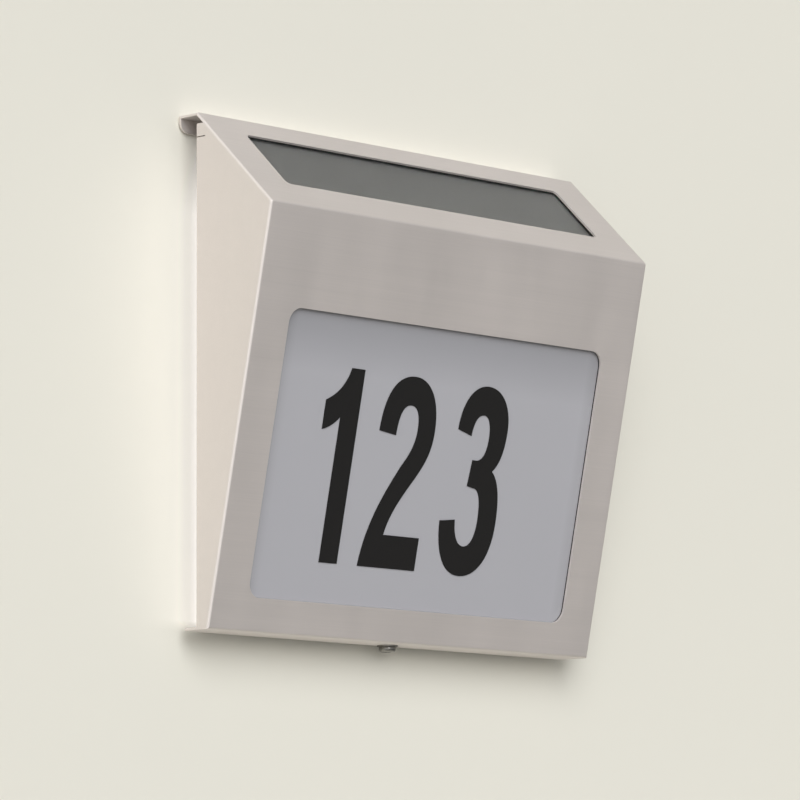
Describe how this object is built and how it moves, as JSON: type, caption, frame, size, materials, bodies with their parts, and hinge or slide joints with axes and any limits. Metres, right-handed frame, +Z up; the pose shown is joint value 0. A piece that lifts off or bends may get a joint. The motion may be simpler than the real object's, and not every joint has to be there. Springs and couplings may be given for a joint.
{
  "type": "solar house number sign",
  "caption": "Wall-hung solar house number sign: folded steel housing with a leaning opal window, a solar panel in its sloping top, and a rear box for battery and switch.",
  "frame": {"origin": "on the wall face, at the centre of the bracket's four screw holes, which is at the housing's mid-height", "axes": "+X to the viewer's right, +Y into the wall, +Z up; the front faces -Y"},
  "size_m": [0.2, 0.0459, 0.1825],
  "materials": {
    "sheet_steel": "brushed, satin",
    "bracket_steel": "satin, plain mill finish",
    "screw_steel": "bright machined",
    "opal": "satin opal acrylic",
    "black_foam": "matt foam",
    "solar_glass": "clear, glossy",
    "solar_cell": "dark cell film",
    "board_green": "solder mask",
    "box_black": "fine moulded grain",
    "part_black": "moulded package",
    "can_metal": "drawn can",
    "battery_wrap": "printed-free film",
    "contact_metal": "nickel plated",
    "led_phosphor": "phosphor window",
    "wire_red": "PVC insulation"
  },
  "bodies": {
    "wall": {"wall_bracket": "bracket_steel"},
    "housing": {"housing_shell": "sheet_steel", "lock_washer": "screw_steel", "lock_screw": "screw_steel", "lock_nut": "screw_steel", "diffuser": "opal", "window_seal": "black_foam", "box_nuts": "screw_steel", "diffuser_nuts": "screw_steel", "solar_gasket": "black_foam", "solar_glass": "solar_glass", "solar_cells": "solar_cell", "solar_backboard": "board_green", "solar_clamps": "bracket_steel", "solar_nuts": "screw_steel", "electronics_box": "box_black", "cover_seal": "black_foam", "rear_cover": "box_black", "cover_screws": "screw_steel", "board_screw": "screw_steel", "battery_cell": "battery_wrap", "contact_positive": "contact_metal", "contact_negative": "contact_metal", "main_board": "board_green", "controller_chip": "part_black", "boost_inductor": "part_black", "buffer_capacitor": "can_metal", "resistors": "part_black", "switch_body": "can_metal", "led_board": "board_green", "leds": "led_phosphor", "led_leads": "wire_red", "solar_leads": "wire_red", "battery_leads": "wire_red"},
    "door": {"battery_door": "box_black"},
    "switch": {"switch_slider": "part_black"}
  },
  "joints": [
    {"name": "housing_swing", "type": "hinge", "parent": "wall", "child": "housing", "pos_m": [0, -0.008, 0.08859], "axis": [-1, 0, 0], "range_deg": [0, 25]},
    {"name": "door_slide", "type": "slide", "parent": "housing", "child": "door", "axis": [1, 0, 0], "range_m": [0, 0.054]},
    {"name": "switch_slide", "type": "slide", "parent": "housing", "child": "switch", "axis": [1, 0, 0], "range_m": [0, 0.0025]}
  ]
}
